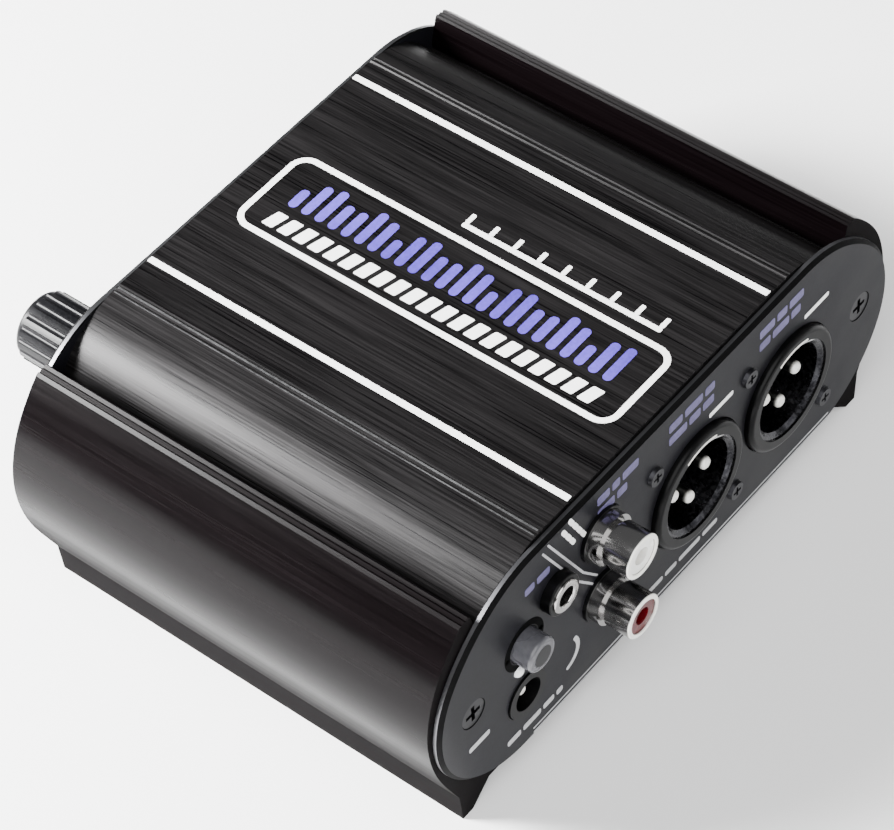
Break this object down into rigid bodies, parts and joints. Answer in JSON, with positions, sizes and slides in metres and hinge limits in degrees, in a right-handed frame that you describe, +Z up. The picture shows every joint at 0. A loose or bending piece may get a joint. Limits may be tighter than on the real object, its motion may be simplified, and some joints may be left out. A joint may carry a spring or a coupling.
{
  "type": "direct injection box",
  "caption": "Low black extruded box with bulging sides and a grooved flat top; flat end panels carry balanced and phono sockets, a push button, a lamp, a power inlet and ribbed level knobs.",
  "frame": {"origin": "centre of the footprint of the whole object, on the plane the two foot rails stand on", "axes": "+Z up, +X along the end panels towards the right-hand balanced socket seen from the connector end, +Y along the extrusion from the connector panel to the control panel"},
  "size_m": [0.1256, 0.1134, 0.0513],
  "materials": {
    "shell_black": "black anodised extrusion with a fine lengthwise brushed grain",
    "panel_coat": "fine dark powder coat",
    "screw_black": "black zinc plated steel",
    "moulding_black": "moulded black nylon, satin",
    "cup_metal": "satin nickel",
    "insert_black": "moulded black plastic",
    "pin_silver": "silver plated contacts",
    "nickel_plate": "bright nickel plate",
    "insulator_white": "glossy white plastic",
    "insulator_red": "glossy red plastic",
    "contact_brass": "tinned brass spring contacts",
    "button_grey": "satin grey plastic",
    "stem_white": "natural nylon",
    "lamp_lens": "milky clear lens",
    "knob_black": "soft black moulding",
    "steel_plain": "plain zinc plated steel",
    "board_green": "green solder mask",
    "chip_black": "moulded black epoxy",
    "can_blue": "shrink sleeve",
    "film_yellow": "moulded box",
    "resistor_tan": "lacquer"
  },
  "bodies": {
    "enclosure": {"lower_shell": "shell_black", "upper_shell": "shell_black", "connector_panel": "panel_coat", "control_panel": "panel_coat", "connector_panel_screws": "screw_black", "control_panel_screws": "screw_black", "xlr_fixing_screws": "screw_black", "combo_fixing_screws": "screw_black", "xlr_housing_left": "moulding_black", "xlr_housing_right": "moulding_black", "phono_in_housing": "moulding_black", "phono_out_housing": "moulding_black", "combo_body_left": "moulding_black", "combo_body_right": "moulding_black", "mini_jack_body": "moulding_black", "switch_body": "moulding_black", "dc_jack_body": "moulding_black", "xlr_cup_left": "cup_metal", "xlr_cup_right": "cup_metal", "xlr_insert_left": "insert_black", "xlr_insert_right": "insert_black", "xlr_pins_left": "pin_silver", "xlr_pins_right": "pin_silver", "dc_jack_pin": "pin_silver", "phono_in_sleeves": "nickel_plate", "phono_out_sleeves": "nickel_plate", "mini_jack_ring": "nickel_plate", "phono_in_insulator_white": "insulator_white", "phono_out_insulator_white": "insulator_white", "phono_in_insulator_red": "insulator_red", "phono_out_insulator_red": "insulator_red", "phono_in_contacts": "contact_brass", "phono_out_contacts": "contact_brass", "combo_contacts_left": "contact_brass", "combo_contacts_right": "contact_brass", "dc_jack_spring": "contact_brass", "status_led": "lamp_lens", "pot_body_upper": "steel_plain", "pot_body_lower": "steel_plain", "pot_washers": "steel_plain", "pot_nuts": "steel_plain", "led_leads": "steel_plain", "jack_board_pins": "steel_plain", "control_board_pins": "steel_plain", "main_board": "board_green", "jack_board": "board_green", "control_board": "board_green", "amplifier_chips": "chip_black", "voltage_regulator": "chip_black", "electrolytic_capacitors": "can_blue", "film_capacitors": "film_yellow", "resistors": "resistor_tan"},
    "upper_knob": {"pot_shaft_upper": "steel_plain", "knob_upper": "knob_black"},
    "lower_knob": {"pot_shaft_lower": "steel_plain", "knob_lower": "knob_black"},
    "push_button": {"button_cap": "button_grey", "switch_plunger": "stem_white"}
  },
  "joints": [
    {"name": "upper_knob_turn", "type": "hinge", "parent": "enclosure", "child": "upper_knob", "pos_m": [-0.038, 0.0492, 0.0366], "axis": [0, 1, 0], "range_deg": [-150, 150]},
    {"name": "lower_knob_turn", "type": "hinge", "parent": "enclosure", "child": "lower_knob", "pos_m": [-0.0346, 0.0492, 0.0178], "axis": [0, 1, 0], "range_deg": [-150, 150]},
    {"name": "button_press", "type": "slide", "parent": "enclosure", "child": "push_button", "axis": [0, 1, 0], "range_m": [0, 0.002], "stiffness_N_per_m": 400}
  ]
}
